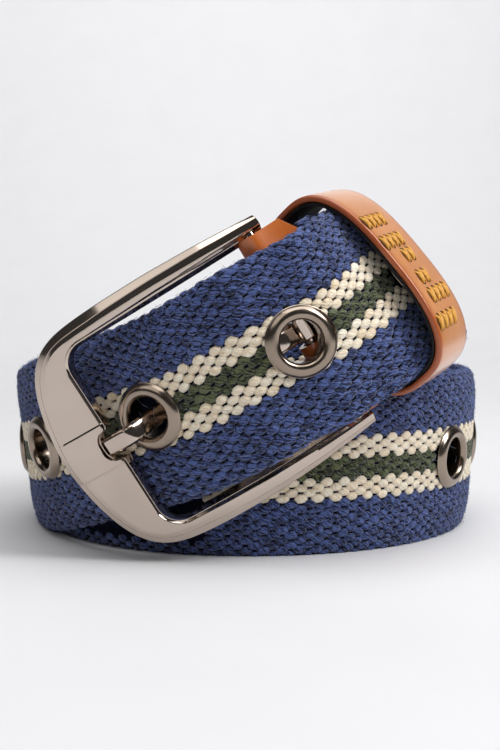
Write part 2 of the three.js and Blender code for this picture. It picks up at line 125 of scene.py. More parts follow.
def joined(pieces):
    """Makes several pieces one, which keeps the first one's name."""
    only(pieces[0])
    for piece in pieces[1:]:
        piece.select_set(True)
    bpy.ops.object.join()
    return pieces[0]


def copy_of(piece, name):
    """A copy of a piece, with a mesh of its own."""
    twin = piece.copy()
    twin.data = piece.data.copy()
    twin.name = twin.data.name = name
    bpy.context.collection.objects.link(twin)
    return twin


def points_of(piece):
    return np.array([v.co for v in piece.data.vertices])


def move_points(piece, placed):
    """Puts a mesh's points at new places, given in millimetres."""
    piece.data.vertices.foreach_set("co", (placed * MM).ravel())
    piece.data.update()


def note_on_points(piece, name, values):
    """Stores one number or one vector per point for the material to read."""
    values = np.asarray(values, dtype=np.float32)
    kind, key = ("FLOAT", "value") if values.ndim == 1 else ("FLOAT_VECTOR", "vector")
    piece.data.attributes.new(name, kind, "POINT").data.foreach_set(key, values.ravel())


def apply_modifier(piece, kind, **settings):
    """Adds a modifier with its settings and makes its result the mesh."""
    only(piece)
    modifier = piece.modifiers.new(kind.title(), kind)
    for key, value in settings.items():
        setattr(modifier, key, value)
    bpy.ops.object.modifier_apply(modifier=modifier.name)
    return piece


def smooth_by_angle(piece, degrees):
    only(piece)
    bpy.ops.object.shade_smooth_by_angle(angle=radians(degrees))
    return piece


def finish_piece(piece, finish, slot, *nodes):
    """Gives a piece its material and its body, and hides the CAD nodes that it stands for. The slot is not
    used.
    """
    piece.data.materials.clear()
    for material in finish if isinstance(finish, (list, tuple)) else [finish]:
        piece.data.materials.append(material)
    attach(piece, "root")
    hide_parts(*nodes)
    piece.data.calc_loop_triangles()
    print(f"{piece.name}: {len(piece.data.loop_triangles)} triangles")
    return piece


# %% [markdown]
# ## The course of the webbing
# A real belt is a flat strip that is bent. So each detail is laid out flat, by its distance from the tip,
# its place round the strip's section and its height over the cloth, and is then carried onto the bent
# strip. The table gives the strip's middle line round the coil, with the same stations as the CAD model.
# The columns are the turn in degrees from the front, the radius, the height of the middle, the lean of the
# upper edge outwards and the curl of both edges inwards.

# %% Course table
COURSE = np.array([
    (-47, 49.8, 60.7, -38, 0.6),
    (-40, 53.4, 60.2, -37, 0.6),
    (-31.6, 58.1, 59.2, -35, 0.5),
    (-24, 63.1, 56.4, -30, 0.4),
    (-17, 67.3, 52, -13, 0.3),
    (-10, 69.7, 47.3, 0.5, 0.3),
    (-2.5, 69.6, 42.7, 7, 0.3),
    (4.5, 67.7, 37.9, 11, 0.3),
    (11.8, 65.5, 33.5, 13, 0.3),
    (19.8, 63.5, 30.2, 12.5, 0.4),
    (28.3, 61.9, 27.6, 12.5, 0.5),
    (37.1, 60.6, 25, 12.5, 0.6),
    (46, 59.1, 22.6, 12, 0.7),
    (55.3, 57.4, 20.7, 10.5, 0.9),
    (64.9, 55.8, 19.5, 8.5, 1.1),
    (75, 54.4, 18.95, 6, 1.3),
    (90, 53.5, 18.8, 3.4, 1.4),
    (180, 53.5, 18.8, 3.4, 1.4),
    (270, 53.5, 18.8, 3.4, 1.4),
    (360, 53.5, 18.8, 3.4, 1.4),
    (385, 53.3, 18.8, 3.4, 1.4),
    (420, 51.3, 18.8, 3.4, 1.4),
    (450, 49.2, 18.8, 3.4, 1.4),
    (490, 49.0, 18.8, 3.4, 1.4),
    (590, 49.0, 18.8, 3.4, 1.4),
    (690, 49.0, 18.8, 3.4, 1.4),
    (745, 48.8, 18.8, 3.4, 1.4),
    (780, 47.0, 18.9, 3.4, 1.4),
    (810, 45.1, 19.6, 3.4, 1.4),
    (840, 44.0, 22.0, 3, 1.3),
    (870, 43.2, 25.5, 2, 1.1),
    (900, 42.6, 29.3, 1, 0.9),
    (930, 42.0, 33.2, 0, 0.8),
    (960, 41.6, 38.0, -1, 0.6),
    (990, 41.2, 43.5, -3, 0.5),
    (1010, 40.6, 48.4, -7, 0.4),
    (1024, 40.1, 52.9, -15, 0.3),
    (1031, 41.4, 55.9, -26, 0.2),
    (1038.04, 46.08, 56.91, -38.0, 0),
    (1043.10, 49.71, 57.45, -37.2, 0),
    (1048.10, 52.95, 57.49, -36.0, 0),
    (1052.72, 55.66, 56.79, -34.1, 0),
    (1057.37, 58.37, 55.28, -29.1, 0),
    (1060.79, 59.63, 53.95, -16.8, 0),
    (1063.82, 60.15, 52.47, -14.3, 0),
    (1066.89, 61.91, 50.89, -9.3, 0),
    (1070.16, 62.35, 48.66, -2.8, 0),
], dtype=float)
SHIFT = np.array([-0.003, 8.363, -0.271])  # from the coil's axis to the part's origin
WEB_WIDTH = 37.6
CORE = 2.5  # thickness of the cloth under the crowns of its yarns
print("course stations:", len(COURSE))


# %% Points on the course
def eased(knots, table, at):
    """Cubic curve through a table whose slopes are harmonic means, so that it never overshoots a row."""
    i = np.clip(np.searchsorted(knots, at, side="right") - 1, 0, len(knots) - 2)
    gap = np.diff(knots)
    slope = np.diff(table, axis=0) / gap[:, None]
    p, q = slope[:-1], slope[1:]
    total = np.where(p + q == 0, 1, p + q)
    mean = np.where(p * q > 0, 2 * p * q / total, 0)
    leaving, arriving = np.vstack([slope[:1], mean]), np.vstack([mean, slope[-1:]])
    t = ((at - knots[i]) / gap[i])[:, None]
    span = gap[i][:, None]
    return (
        table[i] * (1 + 2 * t) * (1 - t) ** 2
        + table[i + 1] * t * t * (3 - 2 * t)
        + span * (leaving[i] * t * (1 - t) ** 2 - arriving[i] * t * t * (1 - t))
    )


def sampled(table, places, at):
    """Rows of a table read at places between its own, in straight steps."""
    return np.column_stack([np.interp(at, places, column) for column in table.T])


def blurred(rows, spread, reach):
    """Rows averaged with their neighbours on a bell curve; so many rows are lost at each end."""
    weight = np.exp(-0.5 * (np.arange(-reach, reach + 1) / spread) ** 2)
    return np.column_stack([np.convolve(column, weight / weight.sum(), mode="valid") for column in rows.T])


def run_along(points):
    """Distance from a path's first point to each of its points."""
    return np.concatenate([[0], np.cumsum(np.linalg.norm(np.diff(points, axis=0), axis=1))])


def middle_line(turn):
    radius, lift = eased(COURSE[:, 0], COURSE[:, 1:3], turn).T
    angle = np.radians(turn)
    return np.stack([-radius * np.sin(angle), -radius * np.cos(angle), lift], axis=1) + SHIFT


def unit(vectors):
    return vectors / np.linalg.norm(vectors, axis=-1, keepdims=True)


FIRST_TURN, LAST_TURN = COURSE[0, 0], COURSE[-1, 0]
sample_turns = np.linspace(FIRST_TURN, LAST_TURN, 4001)
sample_distances = run_along(middle_line(sample_turns))
COURSE_LENGTH = sample_distances[-1]


def axes_at(distance):
    """Origin, along, across, out and curl of the strip at an array of distances from the tip."""
    distance = np.atleast_1d(np.asarray(distance, dtype=float))
    turn = np.interp(distance, sample_distances, sample_turns)
    turn = np.where(distance < 0, FIRST_TURN + distance / 1.2, turn)
    after = np.minimum(turn + 0.25, LAST_TURN)
    before = np.maximum(turn - 0.25, FIRST_TURN)
    along = unit(middle_line(after) - middle_line(before))
    up = unit(np.array([0, 0, 1.0]) - along * along[:, 2:])
    level = np.cross(up, along)
    lean, curl = eased(COURSE[:, 0], COURSE[:, 3:5], turn).T
    angle = np.radians(lean)[:, None]
    across = up * np.cos(angle) + level * np.sin(angle)
    return middle_line(turn), along, across, np.cross(across, along), curl


def on_strip(distance, across, height):
    """Carries flat places onto the bent strip: distance from the tip, across the width, height."""
    origin, _, width_way, out, curl = axes_at(distance)
    roll = np.maximum(np.abs(across) - 11, 0) / 8
    return origin + width_way * across[:, None] + out * (height - curl * roll**2)[:, None]


print("webbing runs", round(COURSE_LENGTH, 1), "mm from its tip to the hinge pin")


# %% [markdown]
# ## The camera
# The photograph is taken from just above the belt, about 29 cm in front of it. The lens follows from the
# size of the coil in the picture. Nothing is shifted, so other views can reuse it.

# %% Camera
PICTURE = (500, 750)
FOCAL_PIXELS = 1188
CAMERA_PLACE = np.array([-0.103, -299.55, 52.05]) + SHIFT
CAMERA_DOWN = 3.153

bpy.ops.object.camera_add(location=tuple(CAMERA_PLACE * MM), rotation=(radians(90 - CAMERA_DOWN), 0, 0))
camera = bpy.context.object
camera.data.sensor_width = 36
camera.data.lens = FOCAL_PIXELS / max(PICTURE) * camera.data.sensor_width
camera.data.clip_start = 0.01
bpy.context.scene.camera = camera
print("lens", round(camera.data.lens, 2), "mm")


# %% [markdown]
# ## Studio
# The real set is a white table that runs up into a pale wall, lit by large soft lamps. Polished metal shows
# what stands round it, so the room is left darker than the table: the buckle's grooves then get their dark
# bands, its flat face mirrors the bright table, and its slanting facet mirrors the big lamp on the left.

# %% Floor that sweeps up into the wall
FLOOR_HALF = 1400
SWEEP_RADIUS = 500
WALL_AT = 1300
profile = [(-FLOOR_HALF, 0), (WALL_AT - SWEEP_RADIUS, 0)]
for step in range(1, 17):
    angle = pi / 2 * step / 16
    profile.append((WALL_AT - SWEEP_RADIUS * (1 - sin(angle)), SWEEP_RADIUS * (1 - cos(angle))))
profile.append((WALL_AT, 2200))
sweep_points = [(side * FLOOR_HALF * 1.4, y, z) for y, z in profile for side in (-1, 1)]
sweep_corners = [c for i in range(len(profile) - 1) for c in (2 * i, 2 * i + 1, 2 * i + 3, 2 * i + 2)]
floor = mesh_piece("studio_floor", sweep_points, sweep_corners)
print("floor and wall:", len(floor.data.polygons), "faces")


# %% Lamps
def lamp(name, place, aim, size, watts, colour=(1, 1, 1)):
    """A soft rectangular lamp at a place, turned towards a point."""
    bpy.ops.object.light_add(type="AREA", location=[c * MM for c in place])
    light = bpy.context.object
    light.name = name
    light.data.shape = "RECTANGLE"
    light.data.size, light.data.size_y = size[0] * MM, size[1] * MM
    light.data.energy = watts
    light.data.color = colour
    way = np.array(place, dtype=float) - np.array(aim, dtype=float)
    light.rotation_euler = (np.arctan2(np.hypot(way[0], way[1]), way[2]), 0, np.arctan2(way[0], -way[1]))
    return light


lamp("lamp_above", (80, -120, 780), (0, 0, 30), (900, 640), 4.9)
lamp("lamp_left", (-1000, -1000, 1250), (0, -20, 40), (1500, 1100), 6.2, (1, 0.98, 0.95))
lamp("lamp_right", (540, -340, 600), (10, -20, 40), (320, 400), 5.0, (0.99, 0.99, 1))
lamp("lamp_wall", (0, 700, 900), (0, 1300, 350), (1600, 500), 8.2)

world = bpy.data.worlds.new("studio_room")
bpy.context.scene.world = world
world.use_nodes = True
world.node_tree.nodes["Background"].inputs["Color"].default_value = (0.86, 0.86, 0.88, 1)
world.node_tree.nodes["Background"].inputs["Strength"].default_value = 0.06
bpy.context.scene.view_settings.view_transform = "Standard"


# %% [markdown]
# ## Finishes as sums
# A finish is a Principled shader with a few numbers that are the same all over, and a few that change over
# the surface. The ones that change are written as ordinary sums: a small class wraps a node's output, and
# each +, - or * on it adds the Math node that does it.

# %% Finish builder
class Value:
    """One output of a shader node, which sums can use like a number."""

    def __init__(self, finish, socket):
        self.finish, self.socket = finish, socket

    def maths(self, operation, first, second=0.5):
        return self.finish.node("ShaderNodeMath", {"operation": operation}, {0: first, 1: second})

    def __add__(self, other):
        return self.maths("ADD", self, other)

    def __sub__(self, other):
        return self.maths("SUBTRACT", self, other)

    def __mul__(self, other):
        return self.maths("MULTIPLY", self, other)

    def __rsub__(self, other):
        return self.maths("SUBTRACT", other, self)

    __radd__, __rmul__ = __add__, __mul__

    def clamped(self):
        return self.maths("MINIMUM", self.maths("MAXIMUM", self, 0), 1)


class Finish:
    """A material: the constants go straight on the shader, the rest is fed by nodes."""

    def __init__(self, name, **constants):
        self.material = bpy.data.materials.new(name)
        self.material.use_nodes = True
        self.tree = self.material.node_tree
        self.shader = self.tree.nodes["Principled BSDF"]
        for key, value in constants.items():
            self.shader.inputs[key.replace("_", " ")].default_value = value

    def node(self, kind, settings=(), inputs=(), output=0):
        node = self.tree.nodes.new(kind)
        for key, value in dict(settings).items():
            setattr(node, key, value)
        for key, value in dict(inputs).items():
            self.put(node.inputs[key], value)
        return Value(self, node.outputs[output])

    def put(self, socket, value):
        if isinstance(value, Value):
            self.tree.links.new(value.socket, socket)
        else:
            socket.default_value = value

    def feed(self, **inputs):
        for key, value in inputs.items():
            self.put(self.shader.inputs[key.replace("_", " ")], value)
        return self

    def place(self):
        return self.node("ShaderNodeTexCoord", output="Object")

    def noted(self, name, output="Fac"):
        return self.node("ShaderNodeAttribute", {"attribute_name": name}, output=output)

    def noise(self, where, scale, detail=2.0, roughness=0.5):
        sockets = {"Vector": where, "Scale": scale, "Detail": detail, "Roughness": roughness}
        return self.node("ShaderNodeTexNoise", {}, sockets)

    def stretched(self, where, scale, rotation=(0, 0, 0), kind="POINT"):
        """The place with each direction scaled on its own, for patterns that run one way."""
        sockets = {"Vector": where, "Rotation": rotation, "Scale": scale}
        return self.node("ShaderNodeMapping", {"vector_type": kind}, sockets)

    def blend(self, amount, low, high):
        """A colour between two colours."""
        sockets = {0: amount, 6: low, 7: high}
        return self.node("ShaderNodeMix", {"data_type": "RGBA"}, sockets, output=2)

    def relief(self, height, depth_mm, strength=1.0):
        bump = {"Height": height, "Distance": depth_mm * MM, "Strength": strength}
        return self.node("ShaderNodeBump", {}, bump, output="Normal")


def screen(hex_colour):
    """A screen colour such as 8a7d72 as the linear colour that shaders use."""
    parts = [int(hex_colour[i:i + 2], 16) / 255 for i in (0, 2, 4)]
    return (*[p / 12.92 if p <= 0.04045 else ((p + 0.055) / 1.055) ** 2.4 for p in parts], 1)


# %% Floor finish
table = Finish("table_paper", Roughness=0.75, Specular_IOR_Level=0.25)
fleck = table.noise(table.place(), 30, 3)
table.feed(Base_Color=table.blend(fleck, screen("dadadc"), screen("dfdfe1")))
floor.data.materials.append(table.material)


# %% [markdown]
# ## Cotton yarn
# Each float of the webbing is a plump bundle of twisted cotton. Seen close, it has fine slanting strands and
# a slightly different shade from its neighbour. The light on the strands is partly their own pattern and
# partly a painted highlight, and the colour darkens to painted shade where the float dives under the next
# one. The strands need a direction that follows the yarn, so every float carries its own local position as a
# note on its points.

# %% Yarn finishes
def yarn_finish(name, dive_shade, middle, light, contrast):
    """Cotton in three colours: painted shade where a float dives, its own colour, and a lighter one on the
    strands that is partly a painted highlight.
    """
    finish = Finish(name, Roughness=0.92, Sheen_Weight=0.25, Sheen_Roughness=0.5, Specular_IOR_Level=0.2)
    fibre = finish.noted("fibre", "Vector")
    slanting = finish.stretched(fibre, (1.7, 0.34, 0.4), (0, 0, radians(38)), "TEXTURE")
    strands = finish.noise(slanting, 1, 2, 0.6)
    wool = finish.noise(finish.place(), 900, 2)
    tone, crown = finish.noted("tone"), finish.noted("crown")
    # The strands' light colour is partly a painted highlight; towards the float's root the colour goes to
    # painted shade.
    bright = (strands * contrast + wool * 0.5 + tone * 0.5 - contrast / 2).clamped()
    top = finish.blend(bright, middle, light)
    return finish.feed(
        Base_Color=finish.blend((crown * 1.3).clamped(), dive_shade, top),
        Normal=finish.relief(strands + wool * 0.3, 0.7, 1.0),
    ).material


# For each yarn: painted shade where a float dives, its own colour, and a lighter strand colour that is partly
# a painted highlight.
navy_yarn = yarn_finish("navy_yarn", screen("04060e"), screen("0c1430"), screen("5466a0"), 6.5)
cream_yarn = yarn_finish("cream_yarn", screen("503c28"), screen("ecd3ae"), screen("fffaea"), 1.6)
green_yarn = yarn_finish("green_yarn", screen("080b06"), screen("151a0f"), screen("666d4c"), 5.2)
print("yarn finishes:", [m.name for m in (navy_yarn, cream_yarn, green_yarn)])


# %% [markdown]
# ## One float of yarn
# The webbing is woven so tightly that only short floats of its lengthwise yarns show, like grains of rice
# in staggered rows. One float is modelled: a ball that is stretched along the strip, cut off below, and
# squared a little towards its ends. There are thousands of copies, so it has only a few dozen faces.

# %% Model a float
FLOAT_LENGTH, FLOAT_WIDTH = 3.05, 2.02
FLOAT_CROWN, FLOAT_ROOT = 0.46, -0.4  # height over the core's surface and depth below it


def model_float(around, rings):
    """Points, corners and face starts of one float, in millimetres round its middle."""
    bpy.ops.object.select_all(action="DESELECT")
    bpy.ops.mesh.primitive_uv_sphere_add(segments=around, ring_count=rings, radius=1)
    ball = bpy.context.object
    with editing(ball):
        bpy.ops.mesh.bisect(plane_co=(0, 0, -0.25), plane_no=(0, 0, 1), clear_inner=True)
        bpy.ops.mesh.select_all(action="SELECT")
        bpy.ops.transform.resize(value=(FLOAT_LENGTH / 2, FLOAT_WIDTH / 2, 1))
    mesh = ball.data
    points = points_of(ball)
    fatter = 1 + 0.1 * np.sin(np.arctan2(points[:, 1] * 1.5, points[:, 0]) * 2) ** 2
    points[:, :2] *= fatter[:, None]
    low, high = points[:, 2].min(), points[:, 2].max()
    points[:, 2] = FLOAT_ROOT + (points[:, 2] - low) / (high - low) * (FLOAT_CROWN - FLOAT_ROOT)
    corners = np.array([loop.vertex_index for loop in mesh.loops])
    starts = np.array([polygon.loop_start for polygon in mesh.polygons])
    bpy.data.objects.remove(ball)
    return points, corners, starts


fine_float = model_float(10, 6)
plain_float = model_float(8, 4)
print("a fine float has", len(fine_float[2]), "faces, a plain one", len(plain_float[2]))


# %% [markdown]
# ## Rows of floats round the strip
# A row runs the length of the belt. The rows are spaced evenly round the whole section: 34 on the face, one
# on the edge, 34 on the back and one on the other edge. Every second row is set back by half a float, as in
# the real weave. Counting across the face, the colours are 11 navy, 4 cream, 4 green, 4 cream and 11 navy
# rows.

# %% Rows and colours
FACE_ROWS = 34
ROW_PITCH = 1.115
FLOAT_PITCH = 3.8
ROWS = 2 * FACE_ROWS + 2
SIDE = CORE / 2
FLAT_HALF = WEB_WIDTH / 2 - SIDE
EDGE_ARC = pi * SIDE


def row_colour(row):
    """Navy, cream or green, counted from the middle of the face or of the back."""
    place = row if row < FACE_ROWS else 2 * FACE_ROWS - row
    from_middle = abs(place - (FACE_ROWS - 1) / 2)
    if row in (FACE_ROWS, ROWS - 1) or from_middle > 6:
        return "navy"
    return "green" if from_middle < 2 else "cream"


def round_section(girth, height):
    """Turns a place round the section into a place across the width and a height over the middle."""
    total = 4 * FLAT_HALF + 2 * EDGE_ARC
    girth = (girth + total / 2) % total - total / 2
    side = np.sign(girth)
    past = np.abs(girth) - FLAT_HALF
    angle = np.clip(past / SIDE, 0, pi)
    over_back = np.maximum(past - EDGE_ARC, 0)
    flat = np.minimum(np.abs(girth), FLAT_HALF) - over_back
    across = side * (flat + (SIDE + height) * np.sin(angle))
    return across, (SIDE + height) * np.cos(angle)


print("rows:", ROWS, "colours across the face:", "".join(row_colour(r)[0] for r in range(FACE_ROWS)))

# %% Eyelet places
EYELET_PITCH = 34.4
BUCKLED_AT = 84  # distance from the tip to the third eyelet, which the prong goes through
EYELETS_AT = BUCKLED_AT + (np.arange(1, 12) - 3) * EYELET_PITCH
FLANGE_COVERS = 6.1  # floats nearer to an eyelet's centre than this are under its rim
print("eyelets at", EYELETS_AT.round(1))


# %% Lay floats
chance = np.random.RandomState(11)
WEB_END = COURSE_LENGTH - 6.4
FLOATS_START, FLOATS_END = 1.2, COURSE_LENGTH - 10.5  # the leather covers the rest
FLOAT_TILT = radians(-5)


def lay_floats(name, model, rows, start, end, finish):
    """Copies a float along some rows between two distances, and carries the copies onto the bent strip."""
    points, corners, starts = model
    centres = []
    for row in rows:
        first = np.ceil((start - 2 - FLOAT_PITCH / 2 * (row % 2)) / FLOAT_PITCH)
        along = FLOAT_PITCH * (np.arange(first, first + (end - start) / FLOAT_PITCH + 2) + (row % 2) / 2)
        along = along[(along > max(start, FLOATS_START)) & (along <= min(end, FLOATS_END))]
        centres.append(np.stack([along, np.full(len(along), row)], axis=1))
    centres = np.vstack(centres)
    girth = (centres[:, 1] - (FACE_ROWS - 1) / 2) * ROW_PITCH
    across, _ = round_section(girth, 0)
    nearest = EYELETS_AT[np.abs(centres[:, 0, None] - EYELETS_AT).argmin(axis=1)]
    free = np.hypot(centres[:, 0] - nearest, across) > FLANGE_COVERS
    centres, girth = centres[free], girth[free]
    count = len(centres)
    tilt = FLOAT_TILT + chance.normal(0, 0.06, count)
    swell = chance.normal(1, 0.045, (count, 2))
    local = points[None] * np.stack([swell[:, 0], swell[:, 1], np.ones(count)], axis=1)[:, None]
    x = local[..., 0] * np.cos(tilt)[:, None] - local[..., 1] * np.sin(tilt)[:, None]
    y = local[..., 0] * np.sin(tilt)[:, None] + local[..., 1] * np.cos(tilt)[:, None]
    distance = centres[:, 0, None] + chance.normal(0, 0.07, count)[:, None] + x
    girth = girth[:, None] + chance.normal(0, 0.04, count)[:, None] + y
    section, height = round_section(girth, local[..., 2])
    placed = on_strip(distance.ravel(), section.ravel(), height.ravel())
    all_corners, all_starts = repeated(corners, len(points), count), repeated(starts, len(corners), count)
    piece = mesh_piece(name, placed, all_corners, all_starts)
    own = chance.uniform(0, 400, (count, 1, 3))
    note_on_points(piece, "fibre", (points[None] + own).reshape(-1, 3))
    note_on_points(piece, "tone", np.repeat(np.clip(chance.normal(0.5, 0.2, count), 0, 1), len(points)))
    # The crown note tells the finish where to paint shade, towards the float's root.
    crown = (points[:, 2] - FLOAT_ROOT) / (FLOAT_CROWN - FLOAT_ROOT)
    note_on_points(piece, "crown", np.tile(crown, count))
    return finish_piece(piece, finish, "canvas", "webbing")


# %% [markdown]
# The stretches that show are woven on every row. The face of the buckled end and of the outer turn get fine
# floats; the riser, the back of the free end and the inside of the hollow get plain ones. Between the turns
# only the rows near the edges can be seen.

# %% Weave the stretches that show
edges = [FACE_ROWS, ROWS - 1]
OUTER_TURN_END = 420
RISER_START = 765
YARNS = (("navy", navy_yarn), ("cream", cream_yarn), ("green", green_yarn))


def striped(kind, start_row):
    """The rows of one colour on the face (from row 0) or on the back (from the row after its edge)."""
    return [r for r in range(start_row, start_row + FACE_ROWS) if row_colour(r) == kind]


lay_floats("navy_face_strap", fine_float, striped("navy", 0), 0, 210, navy_yarn)
lay_floats("navy_face_turn", fine_float, striped("navy", 0), 210, OUTER_TURN_END, navy_yarn)
lay_floats("cream_face", fine_float, striped("cream", 0), 0, OUTER_TURN_END, cream_yarn)
lay_floats("green_face", fine_float, striped("green", 0), 0, OUTER_TURN_END, green_yarn)
lay_floats("navy_edges", fine_float, edges, 0, WEB_END, navy_yarn)
for kind, finish in YARNS:
    lay_floats(f"{kind}_face_riser", plain_float, striped(kind, 0), RISER_START, WEB_END, finish)

# %% Weave the back and the rims between the turns
STRAP_BACK_END = 110
INNER_START = 640
for kind, finish in YARNS:
    back = striped(kind, FACE_ROWS + 1)
    lay_floats(f"{kind}_back_strap", plain_float, back, 0, STRAP_BACK_END, finish)
    lay_floats(f"{kind}_back_hollow", plain_float, back, INNER_START, WEB_END, finish)
rim_face = [0, 1, 2, FACE_ROWS - 3, FACE_ROWS - 2, FACE_ROWS - 1]
rim_back = [FACE_ROWS + 1 + r for r in rim_face]
lay_floats("navy_rim_face", plain_float, rim_face, OUTER_TURN_END, RISER_START, navy_yarn)
lay_floats("navy_rim_back", plain_float, rim_back, STRAP_BACK_END, INNER_START, navy_yarn)


# %% [markdown]
# ## The cloth under the floats
# Between the floats one looks down on the shaded weft and the undersides of other yarns. That bed is a
# plain strip, swept along the same course and a little thinner than the core, with the eyelets' holes
# punched through it. It gets a dark, rough version of the navy, which is painted shade for the weft down
# between the floats, under the cream and green rows as well.

# %% Bed of the weave
BED_STEP = 1.9
BED_CORNERS = 9  # points round each half-round edge
BED_SUNK = 0.08  # how much thinner than the core it is on each side


def bed_section():
    """Closed section of the bed as places across the width and heights over the middle."""
    angle = np.radians(np.linspace(0, 180, BED_CORNERS))
    face = np.linspace(-FLAT_HALF, FLAT_HALF, 15)[1:-1]
    radius = SIDE - BED_SUNK
    right = np.column_stack([FLAT_HALF + radius * np.sin(angle), radius * np.cos(angle)])
    back = np.column_stack([face[::-1], np.full(len(face), -radius)])
    left = np.column_stack([-FLAT_HALF - radius * np.sin(angle), -radius * np.cos(angle)])
    front = np.column_stack([face, np.full(len(face), radius)])
    return np.vstack([right, back, left, front])


section = bed_section()
bed_stations = np.arange(0.3, WEB_END, BED_STEP)
web_bed = lofted("weave_bed", [on_strip(np.full(len(section), d), *section.T) for d in bed_stations])
punches = []
for distance in EYELETS_AT:
    origin, along, _, out, _ = (axis[0] for axis in axes_at(distance))
    bpy.ops.mesh.primitive_cylinder_add(vertices=32, radius=5 * MM, depth=9 * MM)
    punch = bpy.context.object
    move_points(punch, origin + points_of(punch) / MM @ np.array([along, np.cross(out, along), out]))
    punches.append(punch)
punch = outward(joined(punches))
apply_modifier(web_bed, "BOOLEAN", operation="DIFFERENCE", object=punch, solver="EXACT")
bpy.data.objects.remove(punch)
smooth_by_angle(web_bed, 40)

bed = Finish("weave_bed", Roughness=1.0, Specular_IOR_Level=0.1)
# Near-black navy all over: painted shade in the gaps between the floats.
bed.feed(Base_Color=bed.blend(bed.noise(bed.place(), 900, 2), screen("060812"), screen("11162a")))
finish_piece(web_bed, bed.material, "canvas", "webbing")


# %% [markdown]
# ## Eyelets
# An eyelet is a rolled brass ring with a dark nickel plating. Its section is drawn once and spun round: a
# thin outer lip, a round crown that rolls over into the barrel, and a flat washer on the back. Each copy is
# then turned into its place on the strip.

# %% Metal finishes
def plated(name, dark, light, roughness, smudge=0.06):
    """Polished plating with soft clouds, faint smudges and fine brush marks."""
    finish = Finish(name, Metallic=1.0)
    where = finish.place()
    cloud = finish.noise(where, 60, 3)
    brushed = finish.noise(finish.stretched(where, (900, 220, 900)), 1, 2)
    return finish.feed(
        Base_Color=finish.blend(cloud, dark, light),
        Roughness=cloud * smudge + brushed * smudge + (roughness - smudge),
        Normal=finish.relief(cloud, 0.02, 0.25),
    ).material


buckle_metal = plated("polished_gunmetal", screen("b3a59a"), screen("cabcb0"), 0.1)
eyelet_metal = plated("eyelet_nickel", screen("87786a"), screen("a89a8c"), 0.2)

# %% Spin an eyelet
EYELET_SECTION = [
    (4.25, -2.78), (4.25, 1.8), (4.3, 2.15), (4.45, 2.5), (4.72, 2.77), (5.1, 2.93), (5.6, 2.95),
    (6.1, 2.8), (6.5, 2.54), (6.82, 2.22), (7.0, 1.94), (7.08, 1.84), (7.17, 1.78), (7.18, 1.68),
    (7.1, 1.62), (6.8, 1.62), (4.8, 1.7), (4.8, -2.46), (6.0, -2.5), (6.1, -2.6), (6.02, -2.76), (4.6, -2.8),
]


def spin_section(name, section, turns):
    """Spins a closed section of (radius, height) round the Z axis."""
    count = len(section)
    mesh = bpy.data.meshes.new(name)
    mesh.from_pydata([(r, 0, h) for r, h in section], [(i, (i + 1) % count) for i in range(count)], [])
    piece = bpy.data.objects.new(name, mesh)
    bpy.context.collection.objects.link(piece)
    with editing(piece):
        bpy.ops.mesh.spin(steps=turns, angle=2 * pi, center=(0, 0, 0), axis=(0, 0, 1))
        bpy.ops.mesh.select_all(action="SELECT")
        bpy.ops.mesh.remove_doubles(threshold=0.001)
    return outward(piece)


pattern = spin_section("eyelet_pattern", EYELET_SECTION, 56)
flat_ring = points_of(pattern)
for number, distance in enumerate(EYELETS_AT, start=1):
    origin, along, across, out, _ = (axis[0] for axis in axes_at(distance))
    node = f"eyelet_{number:02d}"
    ring = copy_of(pattern, f"{node}_rolled")
    move_points(ring, origin + flat_ring @ np.array([across, -along, out]))
    smooth_by_angle(ring, 50)
    finish_piece(ring, eyelet_metal, "eyelet_metal", node)
bpy.data.objects.remove(pattern)


# %% [markdown]
# ## Buckle frame
# The frame is a zinc casting, curved to the waist. Seen across an arm it has a slanting outer facet that
# narrows towards the end, a groove, a band that leans outwards, a nearly flat top and an inner slope with a
# step. The far bar is almost flat, with two faint steps beside the notch. It is lofted: the outer and the
# inner edge are drawn as tables, a section is stood between each pair of points, and the flat result is
# wrapped round the radius of the waist.

# %% Buckle space
FRAME_ORIGIN = np.array([13.50, -62.71, 50.21]) + SHIFT
FRAME_BEND = 117
FRAME_THICKNESS = 3.4
AXIS_A = unit(np.array([-0.817, -0.224, -0.531]))
AXIS_B = np.array([-0.517, -0.122, 0.847])
AXIS_B = unit(AXIS_B - AXIS_A * (AXIS_B @ AXIS_A))
AXIS_N = np.cross(AXIS_B, AXIS_A)


def on_buckle(along, across, height):
    """Carries flat places onto the curved frame: from the arms' ends, up from the middle, out of the face."""
    angle = along / FRAME_BEND
    radius = FRAME_BEND + height
    return (
        FRAME_ORIGIN
        + AXIS_A * (radius * np.sin(angle))[..., None]
        + AXIS_N * (radius * np.cos(angle) - FRAME_BEND)[..., None]
        + AXIS_B * across[..., None]
    )


# Places on the flat frame's upper half: along the buckle, and out from its middle.
OUTER_EDGE = np.array([
    (0.2, 24.3), (5.5, 24.7), (14, 25.3), (25, 25.7), (36, 25.6), (42, 25.3), (46, 24.9), (49, 24.2),
    (51.5, 23.0), (53.6, 21.4), (55.8, 18.6), (57.5, 15.0), (58.9, 10.5), (59.9, 5.2), (60.4, 0),
])
ARM_INSIDE = 20.2
BAR_INSIDE = 47.3
INSIDE_CORNER = 4.2
NOTCH = np.array([(47.3, 3.4), (48.6, 3.15), (49.5, 2.5), (50, 1.4), (50.1, 0)])
print("buckle face looks towards", AXIS_N.round(2))


# %% Edges of the flat frame
def even_path(points, step, rounding):
    """Points at even steps along a path, with rounded corners; the path goes on past both its ends."""
    gone = run_along(points)
    path = sampled(points, gone, np.linspace(0, gone[-1], int(gone[-1] / step) + 1))
    reach = int(3 * rounding / step) + 1
    before = 2 * path[0] - path[1:reach + 1][::-1]
    after = path[-reach - 1:-1][::-1]
    after = after * np.array([1, -1]) if points[-1, 1] == 0 else 2 * path[-1] - after
    return blurred(np.vstack([before, path, after]), rounding / step, reach)


